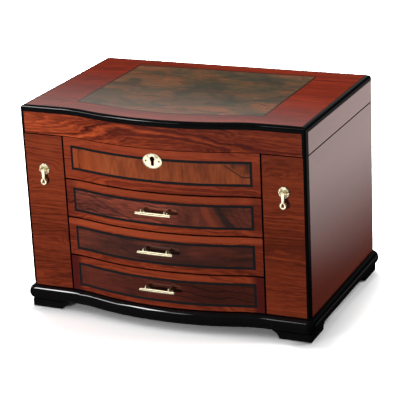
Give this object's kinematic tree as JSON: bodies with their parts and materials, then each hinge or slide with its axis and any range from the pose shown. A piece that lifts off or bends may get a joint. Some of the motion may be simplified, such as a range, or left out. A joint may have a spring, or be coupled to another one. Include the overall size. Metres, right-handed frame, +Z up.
{
  "type": "jewelry chest",
  "caption": "Table-top jewelry chest with a serpentine front, a hinged lid with a mirror, inlaid drawers, pull-out side towers, drop pulls and bracket feet.",
  "frame": {"origin": "middle of the overall box, in the plane of the felt pads' undersides", "axes": "+Z up, the drawer fronts face -Y, +X to the right seen from the front"},
  "size_m": [0.417, 0.2996, 0.2865],
  "materials": {
    "black_lacquer": "high-gloss black lacquer over wood",
    "rosewood": "high-gloss red-brown rosewood veneer",
    "burl": "high-gloss burl veneer inlay with a thin dark border",
    "brass": "polished pale brass",
    "velvet": "short-pile beige lining",
    "felt": "black felt",
    "mirror_glass": "silvered glass",
    "inner_wood": "dark stained wood, satin"
  },
  "bodies": {
    "chest": {"base_plinth": "black_lacquer", "bracket_feet": "black_lacquer", "felt_pads": "felt", "side_panel_left": "rosewood", "side_panel_right": "rosewood", "corner_edging_left": "black_lacquer", "corner_edging_right": "black_lacquer", "back_panel": "inner_wood", "partition_left": "inner_wood", "partition_right": "inner_wood", "dust_boards": "inner_wood", "well_floor": "inner_wood", "side_trays": "inner_wood", "apron_panel": "rosewood", "apron_inlay": "burl", "lock_case": "brass", "escutcheon": "brass", "escutcheon_pins": "brass", "well_lining": "velvet", "well_dividers": "velvet", "ring_rolls": "velvet", "hinge_leaves_lower": "brass", "hinge_pins": "brass"},
    "lid": {"lid_panel": "rosewood", "lid_inlay": "burl", "lid_front_rail": "rosewood", "lid_side_rail_left": "rosewood", "lid_side_rail_right": "rosewood", "lid_back_rail": "inner_wood", "lid_edging": "black_lacquer", "mirror": "mirror_glass", "mirror_frame": "inner_wood", "hinge_leaves_upper": "brass", "strike_plate": "brass"},
    "bolt": {"lock_bolt": "brass"},
    "drawer_1": {"drawer_1_front": "rosewood", "drawer_1_inlay": "rosewood", "drawer_1_box": "inner_wood", "drawer_1_lining": "velvet", "drawer_1_pull": "brass"},
    "drawer_2": {"drawer_2_front": "rosewood", "drawer_2_inlay": "rosewood", "drawer_2_box": "inner_wood", "drawer_2_lining": "velvet", "drawer_2_pull": "brass"},
    "drawer_3": {"drawer_3_front": "rosewood", "drawer_3_inlay": "rosewood", "drawer_3_box": "inner_wood", "drawer_3_lining": "velvet", "drawer_3_pull": "brass"},
    "tower_left": {"tower_left_front": "rosewood", "tower_left_frame": "inner_wood", "tower_left_hooks": "brass", "tower_left_rosette": "brass"},
    "pendant_left": {"tower_left_pendant": "brass"},
    "tower_right": {"tower_right_front": "rosewood", "tower_right_frame": "inner_wood", "tower_right_hooks": "brass", "tower_right_rosette": "brass"},
    "pendant_right": {"tower_right_pendant": "brass"}
  },
  "joints": [
    {"name": "lid_hinge", "type": "hinge", "parent": "chest", "child": "lid", "pos_m": [0, 0.14405, 0.2485], "axis": [-1, 0, 0], "range_deg": [0, 95]},
    {"name": "lock_bolt_slide", "type": "slide", "parent": "chest", "child": "bolt", "axis": [1, 0, 0], "range_m": [0, 0.0044]},
    {"name": "drawer_1_slide", "type": "slide", "parent": "chest", "child": "drawer_1", "axis": [0, -1, 0], "range_m": [0, 0.185]},
    {"name": "drawer_2_slide", "type": "slide", "parent": "chest", "child": "drawer_2", "axis": [0, -1, 0], "range_m": [0, 0.185]},
    {"name": "drawer_3_slide", "type": "slide", "parent": "chest", "child": "drawer_3", "axis": [0, -1, 0], "range_m": [0, 0.185]},
    {"name": "tower_left_slide", "type": "slide", "parent": "chest", "child": "tower_left", "axis": [0, -1, 0], "range_m": [0, 0.175]},
    {"name": "pendant_left_swing", "type": "hinge", "parent": "tower_left", "child": "pendant_left", "pos_m": [-0.16975, -0.1208, 0.2016], "axis": [-1, 0, 0], "range_deg": [0, 90]},
    {"name": "tower_right_slide", "type": "slide", "parent": "chest", "child": "tower_right", "axis": [0, -1, 0], "range_m": [0, 0.175]},
    {"name": "pendant_right_swing", "type": "hinge", "parent": "tower_right", "child": "pendant_right", "pos_m": [0.16975, -0.1208, 0.2016], "axis": [-1, 0, 0], "range_deg": [0, 90]}
  ]
}
